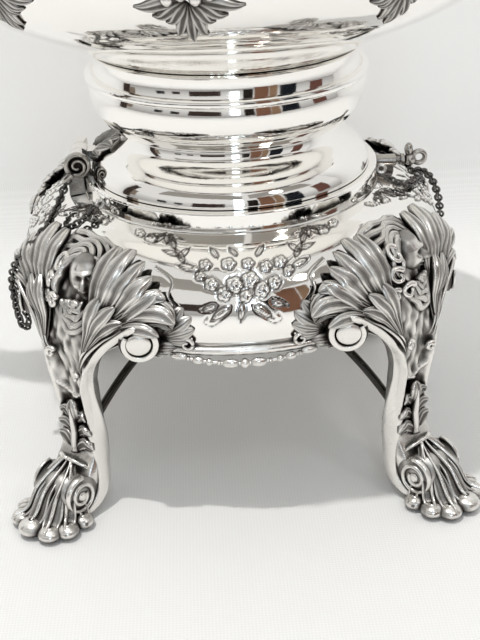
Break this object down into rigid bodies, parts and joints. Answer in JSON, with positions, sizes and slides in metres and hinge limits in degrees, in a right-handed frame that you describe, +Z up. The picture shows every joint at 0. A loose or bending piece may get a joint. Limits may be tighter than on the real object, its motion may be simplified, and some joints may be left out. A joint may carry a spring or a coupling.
{
  "type": "spirit kettle on stand",
  "caption": "Silver spirit kettle with hinged lid and bail handle, tipping on a round stand with scrolled cabriole legs and a lift-out spirit lamp.",
  "frame": {"origin": "on the table, at the centre of the four feet, on the axis of the kettle and stand", "axes": "+Z up, -X towards the spout and the tipping hinge, -Y towards the front of the stand"},
  "size_m": [0.2907, 0.2344, 0.4012],
  "materials": {
    "silver_bright": "polished silver with soft wear",
    "silver_cast": "cast and chased silver with dark recesses",
    "chain_dark": "tarnished silver chain",
    "insulator": "polished bone-like discs",
    "wick": "woven cotton",
    "brass": "satin"
  },
  "bodies": {
    "stand": {"drum": "silver_bright", "rim_collar": "silver_bright", "apron_moulding": "silver_cast", "apron_swags": "silver_cast", "lamp_ring": "silver_bright", "hinge_bracket": "silver_cast", "lock_socket": "silver_bright", "hinge_rim_eye": "silver_cast", "lock_rim_eye": "silver_cast", "hinge_chain": "chain_dark", "lock_chain": "chain_dark", "leg_front_left": "silver_cast", "leg_front_right": "silver_cast", "leg_back_right": "silver_cast", "leg_back_left": "silver_cast", "mask_front_left": "silver_cast", "mask_front_right": "silver_cast", "mask_back_right": "silver_cast", "mask_back_left": "silver_cast", "lamp_arm_front_left": "silver_bright", "lamp_arm_front_right": "silver_bright", "lamp_arm_back_right": "silver_bright", "lamp_arm_back_left": "silver_bright"},
    "kettle": {"kettle_body": "silver_bright", "kettle_waist": "silver_bright", "kettle_shoulder": "silver_bright", "kettle_foot": "silver_bright", "waist_ring": "silver_bright", "kettle_hinge": "silver_cast", "spout": "silver_bright", "spout_strainer": "silver_bright", "lid_bezel": "silver_bright", "lid_hinge_pin": "silver_bright", "handle_lug_left": "silver_cast", "handle_lug_right": "silver_cast", "handle_pivot_left": "silver_bright", "handle_pivot_right": "silver_bright"},
    "lid": {"lid_dome": "silver_bright", "lid_finial": "silver_cast", "finial_nut": "silver_bright"},
    "handle": {"handle_arm_left": "silver_bright", "handle_arm_right": "silver_bright", "insulator_left": "insulator", "insulator_right": "insulator", "handle_grip": "silver_bright"},
    "hinge_pin": {"hinge_pin": "silver_cast", "hinge_pin_eye": "silver_cast"},
    "lock_pin": {"lock_pin": "silver_bright", "lock_finial": "silver_cast"},
    "lamp": {"lamp_font": "silver_bright", "burner_collar": "brass", "wick_tube": "brass", "wick": "wick", "snuffer_pin": "brass"},
    "snuffer": {"snuffer_cap": "silver_bright"}
  },
  "joints": [
    {"name": "kettle_tilt", "type": "hinge", "parent": "stand", "child": "kettle", "pos_m": [-0.065, 0, 0.132], "axis": [0, -1, 0], "range_deg": [0, 40]},
    {"name": "hinge_pin_slide", "type": "slide", "parent": "stand", "child": "hinge_pin", "axis": [0, -1, 0], "range_m": [0, 0.027]},
    {"name": "lock_pin_slide", "type": "slide", "parent": "stand", "child": "lock_pin", "axis": [1, 0, 0], "range_m": [-0.0021, 0.014]},
    {"name": "lid_hinge", "type": "hinge", "parent": "kettle", "child": "lid", "pos_m": [0.0546, 0, 0.2886], "axis": [0, 1, 0], "range_deg": [0, 60]},
    {"name": "handle_swing", "type": "hinge", "parent": "kettle", "child": "handle", "pos_m": [0, 0, 0.271], "axis": [1, 0, 0], "range_deg": [-75, 75]},
    {"name": "lamp_lift", "type": "slide", "parent": "stand", "child": "lamp", "axis": [0, 0, 1], "range_m": [0, 0.025]},
    {"name": "snuffer_hinge", "type": "hinge", "parent": "lamp", "child": "snuffer", "pos_m": [0, 0.011, 0.0878], "axis": [-1, 0, 0], "range_deg": [0, 110]}
  ]
}
